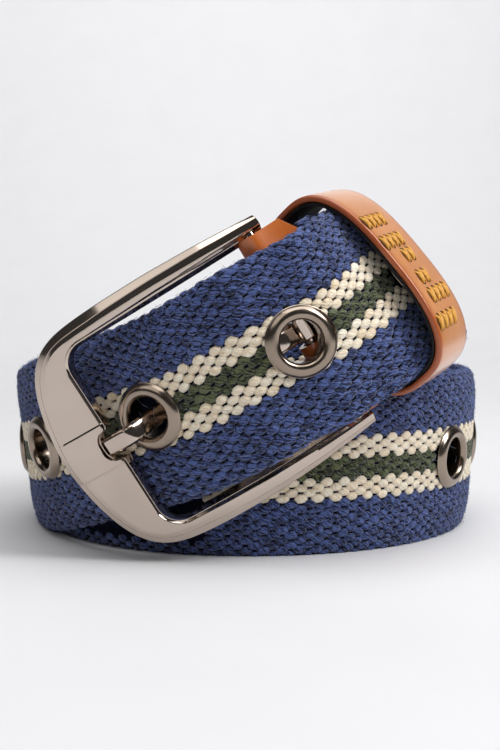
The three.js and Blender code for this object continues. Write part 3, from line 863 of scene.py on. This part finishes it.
turn = np.radians(np.linspace(0, 90, 61))[1:]
straight_to, straight_from = BAR_INSIDE - INSIDE_CORNER, ARM_INSIDE - INSIDE_CORNER
arc = np.array([straight_to, straight_from]) + INSIDE_CORNER * np.column_stack([np.sin(turn), np.cos(turn)])
inner_edge = np.vstack([(0.2, ARM_INSIDE), (straight_to, ARM_INSIDE), arc, NOTCH])
inner_path = even_path(inner_edge, 0.15, 0.3)
outer_path = even_path(OUTER_EDGE, 0.2, 1.8)
outer_places = np.arange(len(outer_path))
late = slice(len(outer_path) // 2, None)


def straight_out(along):
    return np.interp(along, outer_path[:, 0], outer_places)


def straight_along(out):
    return np.interp(-out, -outer_path[late, 1], outer_places[late])


# Each inner point gets an outer partner: straight out on the arm, straight along on the bar, fanned between.
partners = []
for along_at, out_at in inner_path:
    if along_at < straight_to:
        partners.append(straight_out(along_at))
    elif out_at > straight_from:
        fan = np.degrees(np.arctan2(along_at - straight_to, out_at - straight_from)) / 90
        partners.append((1 - fan) * straight_out(straight_to) + fan * straight_along(straight_from))
    else:
        partners.append(straight_along(out_at))
half_pairs = np.hstack([sampled(outer_path, outer_places, partners), inner_path])
pairs = np.vstack([half_pairs, half_pairs[-2::-1] * np.array([1, -1, 1, -1])])
print("frame stations:", len(pairs))

# %% Loft the frame
outer, inner = pairs[:, :2], pairs[:, 2:]
bar_width = np.linalg.norm(outer - inner, axis=1)
facet = np.interp(outer[:, 0], [0, 8, 40, 60], [0.7, 1.0, 1.6, 1.3])
slope_width = np.interp(outer[:, 0], [0, 25, 42, 60], [2.0, 1.9, 1.35, 1.2])


def frame_section(width, facet_width, slope):
    """Section of the bar, from the outer edge's foot over the top to the inner edge's foot."""
    foot, groove = -FRAME_THICKNESS, facet_width + 0.2
    crown = facet_width + 1.15 + (width - facet_width - 1.15 - slope) * 0.3
    outer_side = [(0.35, foot), (0.06, foot + 0.2), (0, foot + 0.5), (0, -1.3), (0.1, -1.12)]
    band = [(facet_width, -0.4), (facet_width + 0.06, -0.46), (facet_width + 0.16, -0.46), (groove, -0.3),
            (groove + 0.8, -0.06), (groove + 0.9, -0.02), (crown, 0)]
    step = [(width - slope - 0.08, -0.06), (width - slope + 0.06, -0.13), (width - slope * 0.74, -0.62),
            (width - slope * 0.64, -0.7), (width - slope * 0.55, -0.72), (width - slope * 0.25, -1.5)]
    inner_side = [(width - 0.04, -2.05), (width, -2.3), (width, foot + 0.5), (width - 0.06, foot + 0.2),
                  (width - 0.35, foot)]
    return outer_side + band + step + inner_side


RIDGE_HEIGHT = 0.17
RIDGE_HALF = 4.3  # half the width of the raised middle of the far bar
rings = []
for out_point, in_point, width, facet_width, slope in zip(outer, inner, bar_width, facet, slope_width):
    section = np.array(frame_section(width, facet_width, slope))
    flat = out_point + (in_point - out_point) / width * section[:, :1]
    away = np.clip((np.abs(flat[:, 1] - 0.25) - RIDGE_HALF) / 0.4, 0, 1)
    on_bar = np.clip((flat[:, 0] - 36) / 11, 0, 1)
    sunk = np.where(section[:, 1] > -0.55, away * on_bar * RIDGE_HEIGHT, 0)
    rings.append(np.column_stack([flat, section[:, 1] - sunk]))
END_BEVEL = 0.2
for first in (True, False):
    ring = rings[0] if first else rings[-1]
    middle = ring.mean(axis=0)
    end = middle + (ring - middle) * 0.9
    ring[:, 0] += END_BEVEL
    rings = [end, *rings] if first else [*rings, end]
buckle = smooth_by_angle(lofted("buckle_casting", on_buckle(*np.moveaxis(rings, -1, 0))), 20)
finish_piece(buckle, buckle_metal, "gunmetal", "buckle_frame")


# %% A copy of a CAD piece with rounded edges
def round_edges(piece, width, segments, angle):
    limit = {"limit_method": "ANGLE", "angle_limit": radians(angle)}
    return apply_modifier(piece, "BEVEL", width=width * MM, segments=segments, **limit)


def refined_copy(node, name, bevel=None, angle=35):
    """A merged copy of a CAD node, with its hard edges rounded."""
    piece = copy_of(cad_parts[node], name)
    piece.hide_render = piece.hide_viewport = False
    with editing(piece):
        bpy.ops.mesh.remove_doubles(threshold=0.002 * MM)
    if bevel:
        round_edges(piece, bevel, 2, angle)
    return smooth_by_angle(piece, angle)


# %% [markdown]
# The prong is bent up from a flat bar: an eye round the pin, a dip behind the web, a steep rise through the
# eyelet and a flat tip in the notch. It is lofted along that side view, with bevelled upper edges. The
# plain hinge pin is a copy of the CAD one with its edges rounded, so that they catch the light.

# %% Prong and pin
PIN_ALONG, PIN_BELOW, PIN_HOLE = 2.9, 1.8, 2.05
PRONG_WIDTH, PRONG_THICKNESS = 4.3, 1.9
PRONG_COURSE = np.array([
    (5.2, -0.8, 1), (9, 0, 1), (15, -0.2, 1), (22, -2.2, 1), (28.5, -5, 0.98), (33, -6.9, 0.96),
    (36.2, -6.5, 0.94), (40.5, -3.5, 0.92), (44.3, 0.3, 0.9), (47, 0.05, 0.88), (49.3, -0.3, 0.84),
])
rows = np.arange(len(PRONG_COURSE))
course = sampled(PRONG_COURSE, rows, np.linspace(0, rows[-1], 121))
course[9:-9] = blurred(course, 3, 9)
ways = unit(np.gradient(course[:, :2], axis=0))
prong_rings = []
for (along_at, rise, share), way in zip(course, ways):
    w, h = PRONG_WIDTH / 2 * share, PRONG_THICKNESS / 2
    bevel = [(w * 0.66, h), (w * 0.74, h - 0.05), (w - 0.06, h * 0.42), (w, h * 0.3)]
    right = [*bevel, (w, -h + 0.2), (w - 0.2, -h)]
    section = np.array([(-x, z) for x, z in reversed(right)] + right)
    side, up = section.T
    prong_rings.append(np.column_stack([along_at - way[1] * up, side, rise + way[0] * up]))
tip = prong_rings[-1]
for share, forward in ((0.93, 0.16), (0.78, 0.26)):
    end = tip.mean(axis=0) + (tip - tip.mean(axis=0)) * share
    end[:, 0] += forward
    prong_rings.append(end)
prong = lofted("prong_bar", on_buckle(*np.moveaxis(prong_rings, -1, 0)))

EYE_HALF, EYE_THICKNESS = PRONG_WIDTH / 2 + 0.2, 1.3
EYE_RADIUS = PIN_HOLE + EYE_THICKNESS
eye_section = [(PIN_HOLE, -EYE_HALF + 0.15), (PIN_HOLE + 0.15, -EYE_HALF), (EYE_RADIUS - 0.3, -EYE_HALF),
               (EYE_RADIUS, -EYE_HALF + 0.3)]
eye = spin_section("prong_eye", eye_section + [(r, -h) for r, h in reversed(eye_section)], 40)
ring = points_of(eye)
move_points(eye, on_buckle(PIN_ALONG + ring[:, 0], ring[:, 2], -PIN_BELOW + ring[:, 1]))
smooth_by_angle(joined([prong, outward(eye)]), 28)
finish_piece(prong, buckle_metal, "gunmetal", "prong")
pin = refined_copy("hinge_pin", "hinge_bar", bevel=0.12, angle=30)
finish_piece(pin, buckle_metal, "gunmetal", "hinge_pin")


# %% [markdown]
# ## Leather
# The keeper is cut from smooth tan leather. Its cut edges are painted burnt orange, and the paint creeps a
# little onto the face, so each point carries a note of how much paint it has. The grain is a fine net of
# cells that only shows in the gloss.

# %% Leather finishes
def leather_finish(name, face_dark, face_light, edge_colour):
    """Glossy leather whose colour drifts, with painted edges where the rim note is high."""
    finish = Finish(name, Specular_IOR_Level=0.45, Coat_Roughness=0.16)
    where = finish.place()
    cloud = finish.noise(where, 90, 4)
    rim = finish.noted("rim")
    net = {"Vector": where, "Scale": 1500}
    cells = finish.node("ShaderNodeTexVoronoi", {"feature": "DISTANCE_TO_EDGE"}, net)
    pores = finish.noise(where, 2600, 2)
    face = finish.blend(cloud, face_dark, face_light)
    return finish.feed(
        Base_Color=finish.blend((rim * (0.75 + cloud * 0.5)).clamped(), face, edge_colour),
        Roughness=0.24 + cloud * 0.14 + pores * 0.08,
        Coat_Weight=0.8 - rim * 0.1,
        Normal=finish.relief(cells + pores * 0.6, 0.035, 0.5),
    ).material


tan_leather = leather_finish("tan_leather", screen("b56f3c"), screen("de9f6a"), screen("a04a14"))
chape_leather = leather_finish("chape_leather", screen("b5520f"), screen("dc7a2a"), screen("7a3208"))
lining = Finish("dark_lining", Roughness=0.7, Specular_IOR_Level=0.25)
lining.feed(
    Base_Color=lining.blend(lining.noise(lining.place(), 700, 3), screen("0c0b0c"), screen("232023")),
    Normal=lining.relief(lining.noise(lining.place(), 1800, 2), 0.05, 0.5),
)

# %% Keeper space
KEEPER_CENTRE = np.array([24.4, -49.5, 56.15]) + SHIFT
KEEPER_ALONG = unit(np.array([0.478, 0.862, 0.17]))
KEEPER_ACROSS = unit(np.array([-0.61, 0.187, 0.77]))
KEEPER_OUT = unit(np.array([0.631, -0.472, 0.615]))
KEEPER_HALF_LENGTH = WEB_WIDTH / 2 + 2.1
KEEPER_HALF_DEPTH = 10.1
KEEPER_CORNER = 2.75  # exponent of its rounded outline
KEEPER_WIDTH = 15.7
LINING_THICKNESS = 0.6
KEEPER_LEATHER = 1.25
LEATHER_STARTS = LINING_THICKNESS + 0.25


def on_keeper(angle, extra, along):
    """A point of the loop: degrees round it from its upper end, beyond its inside, along its width."""
    c, s = np.cos(np.radians(angle)), np.sin(np.radians(angle))
    c, s = (np.sign(v) * np.abs(v) ** (2 / KEEPER_CORNER) for v in (c, s))
    return (
        KEEPER_CENTRE
        + KEEPER_ACROSS * (c * (KEEPER_HALF_LENGTH + extra))[..., None]
        + KEEPER_OUT * (s * (KEEPER_HALF_DEPTH + extra))[..., None]
        + KEEPER_ALONG * along[..., None]
    )


# %% Loop of leather
def loop_piece(name, section, rims, segments=120):
    """Sweeps a closed section of (beyond the inside, along the width) round the keeper."""
    section = np.array(section)
    angles = np.repeat(np.arange(segments) * 360 / segments, len(section))
    extra, along = np.tile(section.T, segments)
    corners = tube_corners(segments, len(section), closed=True)
    piece = mesh_piece(name, on_keeper(angles, extra, along), corners)
    note_on_points(piece, "rim", np.tile(rims, segments))
    return smooth_by_angle(outward(piece), 60)


half = KEEPER_WIDTH / 2
inside, outside = LEATHER_STARTS, LEATHER_STARTS + KEEPER_LEATHER
face_side = [(outside - 0.5, half), (outside - 0.2, half - 0.08), (outside - 0.04, half - 0.34),
             (outside, half - 0.9), (outside + 0.06, half - 2.2), (outside + 0.1, half - 5)]
keeper_section = [(inside, -half + 0.15), (inside, half - 0.15), (inside + 0.15, half), *face_side,
                  *[(e, -a) for e, a in reversed(face_side)], (inside + 0.15, -half)]
# How much edge paint there is at each point of the section.
keeper_rims = [0.6, 0.6, 1, 1, 1, 0.95, 0.35, 0.05, 0, 0, 0.05, 0.35, 0.95, 1, 1, 1]
band = loop_piece("keeper_band", keeper_section, keeper_rims)
finish_piece(band, tan_leather, "tan_leather", "keeper_loop")

lining_half = half - 0.3
lining_section = [(0.1, -lining_half), (0, -lining_half + 0.1), (0, lining_half - 0.1), (0.1, lining_half),
                  (LINING_THICKNESS, lining_half), (LINING_THICKNESS, -lining_half)]
inner_band = loop_piece("keeper_inside", lining_section, [0] * 6)
finish_piece(inner_band, lining.material, "dark_lining", "keeper_lining")

# %% [markdown]
# ## Bar tacks
# Mustard thread is sewn through the keeper's outer side in six short rows of tacks, four, four, two, two,
# four and four. A tack is two curling strands that cross over two bowed ones, and it lies on a dark brown
# oval that is painted shade for the pressed hollow round it. Both are modelled flat once and are then carried
# onto the loop at each place.

# %% Sew the tacks
thread = Finish("mustard_thread", Roughness=0.55, Sheen_Weight=0.2)
ply = thread.noise(thread.stretched(thread.place(), (1, 2.4, 1)), 2200, 2)
thread.feed(
    Base_Color=thread.blend(ply, screen("a8660c"), screen("f0b43a")),
    Normal=thread.relief(ply, 0.08, 0.9),
)


def strand(points, radius, sides=6):
    """Rings of a round strand through flat points of (round the loop, along its width, height)."""
    points = np.array(points, dtype=float)
    ways = unit(np.gradient(points, axis=0))
    side = unit(np.cross(ways, [0, 0, 1.0]))
    up = np.cross(side, ways)
    swing = np.arange(sides) * 2 * pi / sides
    taper = np.sqrt(np.clip(np.sin(np.linspace(0.12, pi - 0.12, len(points))), 0.2, 1))
    round_it = side[:, None] * np.cos(swing)[:, None] + up[:, None] * np.sin(swing)[:, None]
    return points[:, None] + radius * taper[:, None, None] * round_it


TACK_LENGTH, TACK_WIDTH, THREAD_RADIUS = 3.3, 1.8, 0.4
reach = np.linspace(-1, 1, 7)
lift = 0.24 * (1 - reach**2) - 0.06
tack_strands = []
for side, rise in ((1, 0), (-1, 0.16)):
    curl = side * TACK_WIDTH / 2 * (0.9 * np.sin(reach * 1.5) + 0.1 * side)
    curled = np.column_stack([reach * TACK_LENGTH / 2, curl, lift + rise])
    tack_strands.append(strand(curled, THREAD_RADIUS))
for side in (1, -1):
    bow = side * (0.34 - reach**2 * 0.2)
    tack_strands.append(strand(np.column_stack([reach * TACK_LENGTH * 0.36, bow, lift]), THREAD_RADIUS))

# Degrees round the loop, centre of the row along the width, number of tacks.
TACK_ROWS = [(73.5, -2.5, 4), (85.5, -2.5, 4), (90.2, -0.5, 2), (98.6, -1.6, 2), (108.8, 0.4, 4),
             (125.6, -2.0, 4)]
TACK_SPACING = 2.55

loop_angles = np.linspace(0, 180, 721)
loop_run = run_along(on_keeper(loop_angles, np.full(721, outside), np.zeros(721)))
tack_places = [
    (np.interp(angle, loop_angles, loop_run), centre + (number - (count - 1) / 2) * TACK_SPACING)
    for angle, centre, count in TACK_ROWS
    for number in range(count)
]


def on_leather(place, flat):
    """Carries points (round the loop, along its width, height) onto the leather about a tack's place."""
    around = np.interp(place[0] + flat[:, 0], loop_run, loop_angles)
    return on_keeper(around, outside + 0.1 + flat[:, 2], place[1] + flat[:, 1])


swing = np.linspace(0, 2 * pi, 17)[:-1]
oval = [(TACK_LENGTH / 2 + 0.25) * np.cos(swing), (TACK_WIDTH / 2 + 0.3) * np.sin(swing), np.full(16, 0.03)]
ovals = np.vstack([on_leather(place, np.column_stack(oval)) for place in tack_places])
# A dark brown oval under each tack, painted shade for the pressed hollow round it.
shaded_ovals = mesh_piece("tack_shade_ovals", ovals, np.arange(len(ovals)), range(0, len(ovals), 16))
oval_shade = Finish("painted_tack_shade", Roughness=0.6, Base_Color=screen("4a2109"))
finish_piece(shaded_ovals, oval_shade.material, "tan_leather", "keeper_loop")

rings_count, sides = tack_strands[0].shape[:2]
threads = [on_leather(place, tube.reshape(-1, 3)) for place in tack_places for tube in tack_strands]
tack_corners = repeated(tube_corners(rings_count, sides), rings_count * sides, len(threads))
tacks = mesh_piece("keeper_tacks", np.vstack(threads), tack_corners)
with editing(tacks):  # closes the open ends
    bpy.ops.mesh.select_all(action="DESELECT")
    bpy.ops.mesh.select_non_manifold()
    bpy.ops.mesh.edge_face_add()
finish_piece(outward(tacks), thread.material, "tan_leather", "keeper_loop")

# %% [markdown]
# ## Chape
# The leather that holds the hinge pin is folded round it over both faces of the webbing's end. Only its
# upper corner shows, between the arm and the strap. It is a copy of the CAD piece with softer edges, and
# its fold is drawn out until it meets the arms.

# %% Chape
FOLD_REACH = 20.1  # half the width of the fold's foot, which just clears the arms
chape = refined_copy("leather_chape", "chape_fold")
at = points_of(chape) / MM - FRAME_ORIGIN
across, behind, rise = at @ AXIS_B, at @ AXIS_A, at @ AXIS_N
reach = FOLD_REACH + np.clip((rise + 2.2) * 0.9, 0, 1.1)  # further out over the arms' inner slopes
wider = np.where((np.abs(across) > 18.8) & (behind > -4.5), reach / np.abs(across).max() - 1, 0)
move_points(chape, FRAME_ORIGIN + at + AXIS_B * (across * wider)[:, None])
round_edges(chape, 0.45, 3, 40)
smooth_by_angle(chape, 40)
note_on_points(chape, "rim", np.full(len(chape.data.vertices), 0.1))  # hardly any edge paint
finish_piece(chape, chape_leather, "tan_leather", "leather_chape")

# %% [markdown]
# ## Loose fibres
# Heavy cotton is never clean: short ends of fibre stand off its surface and give the outline a soft edge,
# and a few long pale hairs lie over the yarns. Each is a thin three-sided thread that wanders a little over
# the strip.


# %% Fibres
def lay_fibres(name, count, start, end, girths, length, height, radius, finish):
    """Threads of five rings each, with their own start, heading and curl."""
    rings_count, sides = 5, 3
    at = chance.uniform(start, end, count)
    girth = chance.uniform(*girths, count) * chance.choice([-1, 1], count)
    heading = chance.uniform(0, 2 * pi, count)
    bend = chance.normal(0, 1.1, count)
    reach = chance.uniform(*length, count)[:, None] / rings_count
    top = chance.uniform(*height, count)[:, None]
    t = np.linspace(0, 1, rings_count)
    way = heading[:, None] + bend[:, None] * t
    distance = at[:, None] + np.cumsum(np.cos(way), axis=1) * reach
    girth = girth[:, None] + np.cumsum(np.sin(way), axis=1) * reach
    above = FLOAT_CROWN - 0.1 + top * np.sin(t * chance.uniform(1.6, 3.0, count)[:, None])
    swing = np.arange(sides) * 2 * pi / sides
    thick = (1 - 0.6 * t)[None, :, None] * radius
    distance = distance[..., None] - thick * np.cos(swing) * np.sin(way)[..., None]
    girth = girth[..., None] + thick * np.cos(swing) * np.cos(way)[..., None]
    above = above[..., None] + thick * np.sin(swing)
    across, level = round_section(girth.ravel(), above.ravel())
    points = on_strip(np.clip(distance.ravel(), 0.3, WEB_END), across, level)
    corners = repeated(tube_corners(rings_count, sides), rings_count * sides, count)
    return finish_piece(mesh_piece(name, points, corners), finish, "canvas", "webbing")


lint = Finish("pale_lint", Roughness=0.9, Base_Color=screen("a9b3cc"))
navy_lint = Finish("navy_lint", Roughness=0.9, Base_Color=screen("3f5285"))
on_navy, on_edge = (6.8, FLAT_HALF + 3), (FLAT_HALF, FLAT_HALF + EDGE_ARC)
pale, dark = lint.material, navy_lint.material
lay_fibres("pale_hairs", 420, 14, OUTER_TURN_END, (0, FLAT_HALF), (2.0, 6.5), (0.1, 0.7), 0.022, pale)
lay_fibres("navy_hairs", 6500, 2, OUTER_TURN_END, on_navy, (0.6, 1.6), (0.1, 0.35), 0.03, dark)
lay_fibres("edge_hairs", 2600, 2, WEB_END, on_edge, (0.7, 1.8), (0.2, 0.8), 0.022, dark)

# %% Finish
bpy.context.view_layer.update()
